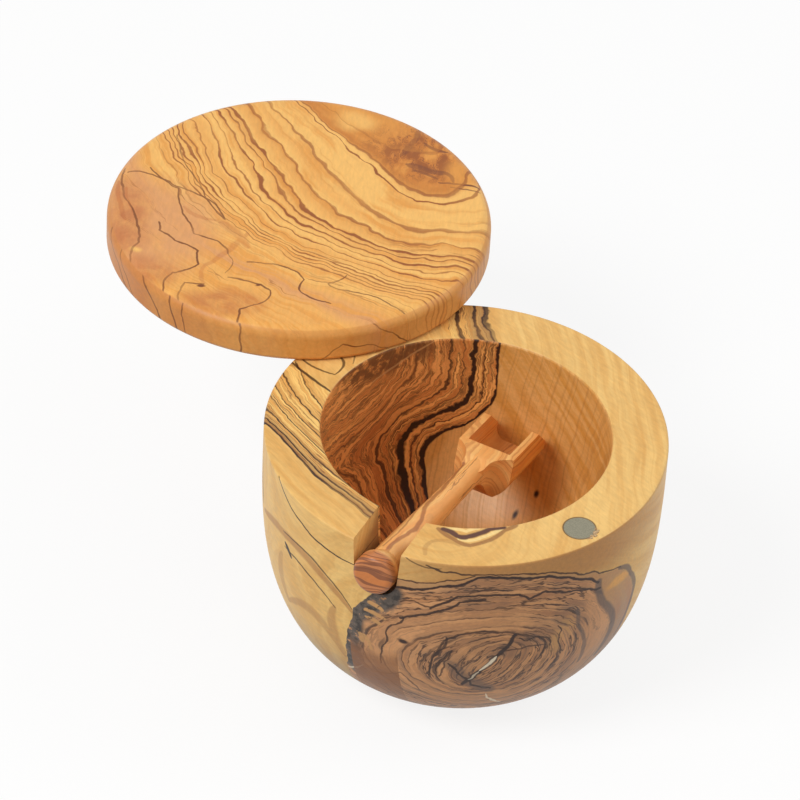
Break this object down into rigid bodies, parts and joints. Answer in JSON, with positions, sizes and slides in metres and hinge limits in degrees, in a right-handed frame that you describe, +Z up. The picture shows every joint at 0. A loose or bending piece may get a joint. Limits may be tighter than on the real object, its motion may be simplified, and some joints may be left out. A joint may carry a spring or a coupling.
{
  "type": "salt box",
  "caption": "Round turned wooden salt keeper with a thick-walled bowl, a disc lid that swivels on an upright pin, a magnetic catch, and a scoop lying in a slot through the wall.",
  "frame": {"origin": "centre of the bowl's flat base", "axes": "+Z up, +Y towards the lid's pivot pin, -Y towards the magnet in the rim"},
  "size_m": [0.1148, 0.191, 0.0789],
  "materials": {
    "bowl_wood": "oiled satin olive wood",
    "lid_wood": "oiled satin olive wood",
    "spoon_wood": "oiled satin olive wood",
    "pin_steel": "ground",
    "magnet_metal": "matte plated"
  },
  "bodies": {
    "bowl": {"bowl": "bowl_wood", "bowl_magnet": "magnet_metal", "pivot_pin": "pin_steel"},
    "lid": {"lid": "lid_wood", "lid_magnet": "magnet_metal"},
    "spoon": {"spoon": "spoon_wood"}
  },
  "joints": [
    {"name": "lid_swivel", "type": "hinge", "parent": "bowl", "child": "lid", "pos_m": [0, 0.0446, 0.0689], "axis": [0, 0, 1], "continuous": true},
    {"name": "spoon_lift", "type": "slide", "parent": "bowl", "child": "spoon", "axis": [0, 0, 1], "range_m": [0, 0.05]}
  ]
}
